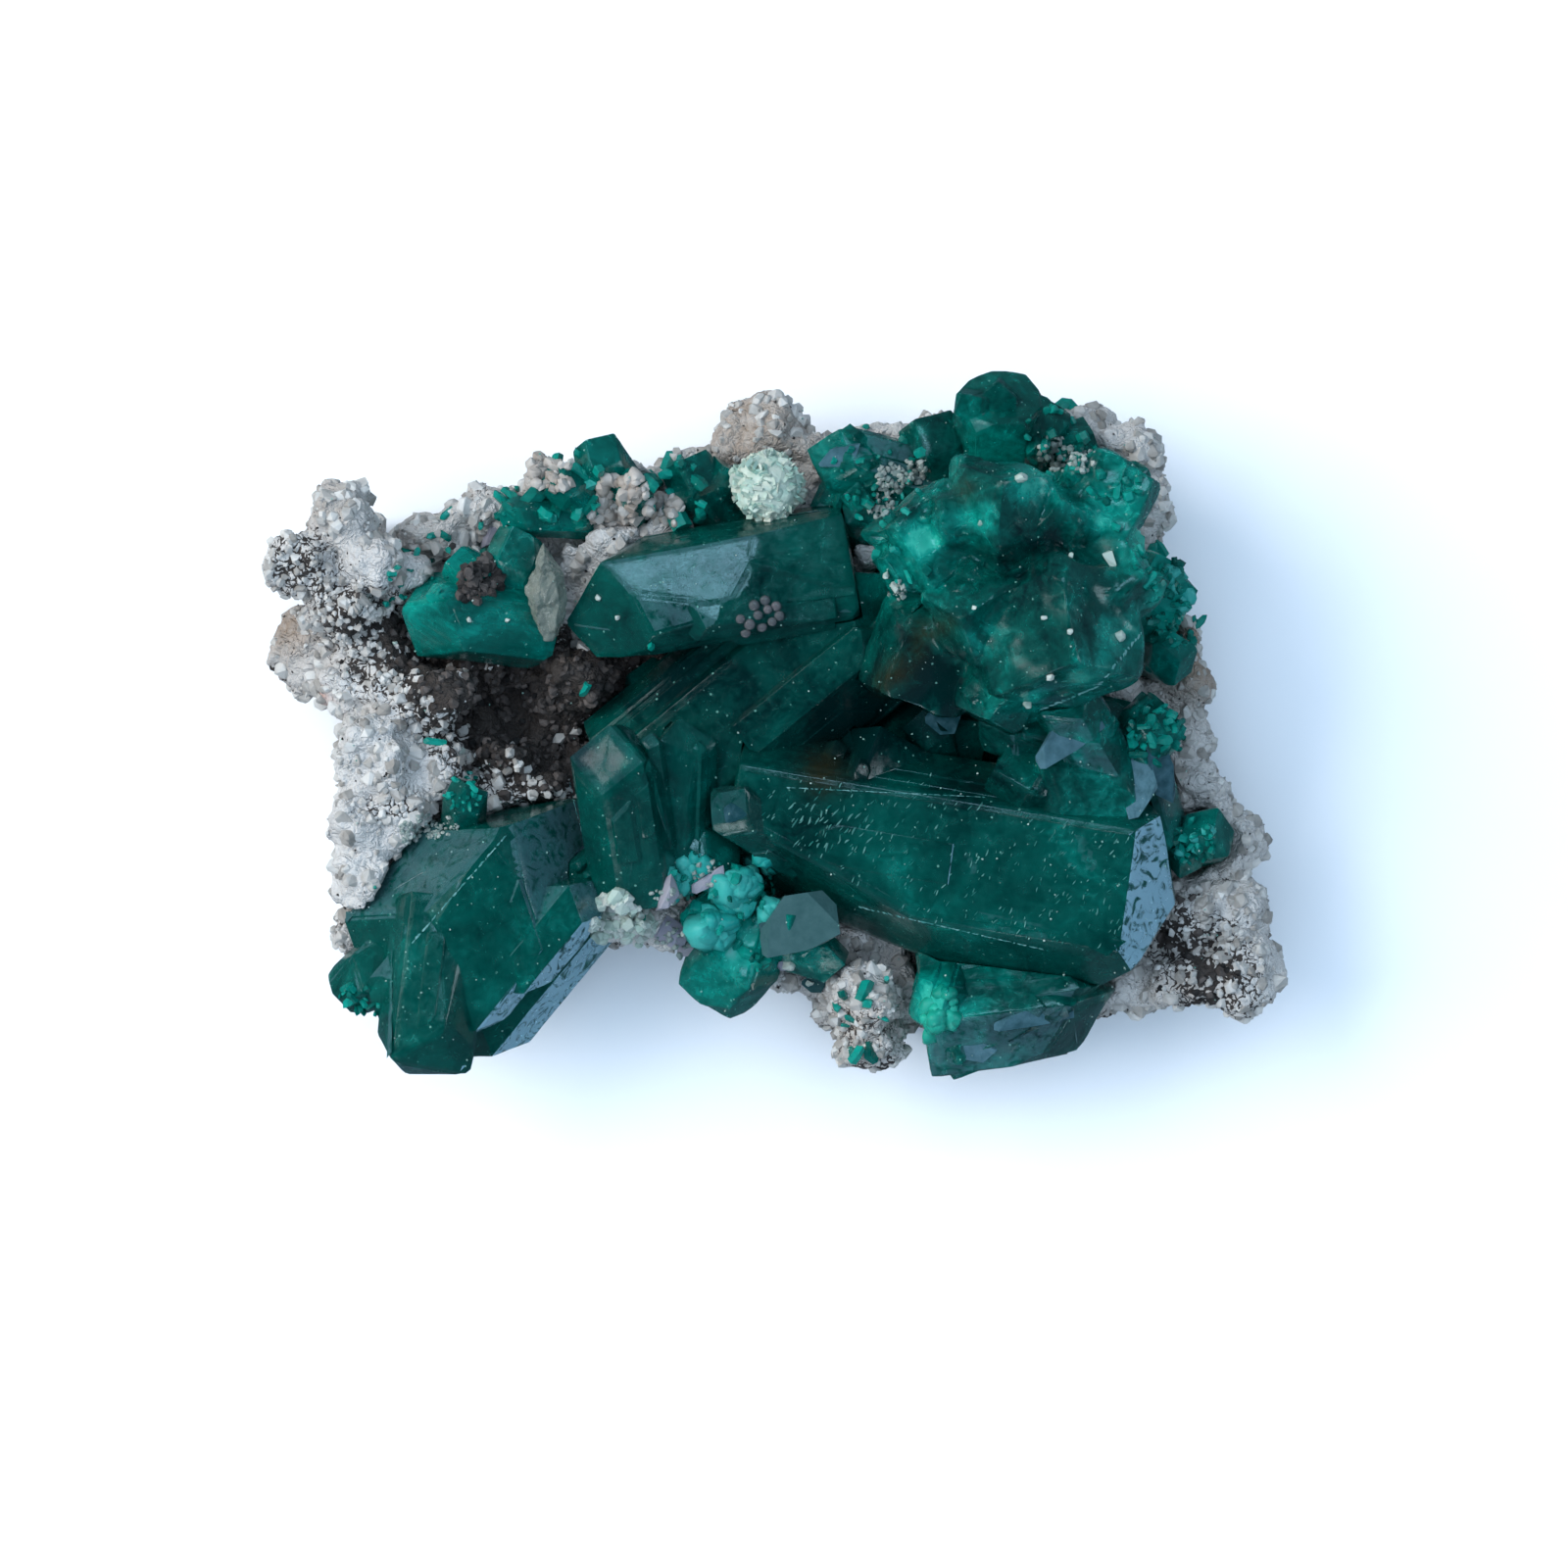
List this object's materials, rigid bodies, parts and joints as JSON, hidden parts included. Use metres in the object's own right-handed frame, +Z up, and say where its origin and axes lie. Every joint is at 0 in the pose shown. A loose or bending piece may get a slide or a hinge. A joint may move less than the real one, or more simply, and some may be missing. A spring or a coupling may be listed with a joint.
{
  "type": "dioptase specimen",
  "caption": "Emerald-green dioptase crystals grown together on a pale host rock with dark grains, lying flat.",
  "frame": {"origin": "under the middle of the specimen's outline, on the surface that it rests on", "axes": "+X along the specimen's longest side, to the right in the picture; +Y towards the picture's top; +Z up, out of the surface that it rests on"},
  "size_m": [0.032, 0.022, 0.0132],
  "materials": {
    "dioptase": "gloss",
    "thin_dioptase": "gloss",
    "host_rock": "matte",
    "rosette_crust": "matte",
    "calcite": "gloss"
  },
  "bodies": {
    "root": {"raised_cluster": "dioptase", "large_crystal": "dioptase", "plate_crystals": "dioptase", "upright_crystals": "dioptase", "lower_left_crystals": "dioptase", "upper_left_crystal": "dioptase", "centre_crystal": "dioptase", "lower_right_crystals": "dioptase", "top_crystals": "dioptase", "left_crystals": "thin_dioptase", "back_crystals": "thin_dioptase", "back_crystal_right": "dioptase", "bottom_crystals": "thin_dioptase", "right_edge_crystals": "dioptase", "right_small_crystal": "thin_dioptase", "rosette": "rosette_crust", "calcite_blade": "calcite", "matrix": "host_rock"}
  },
  "joints": []
}
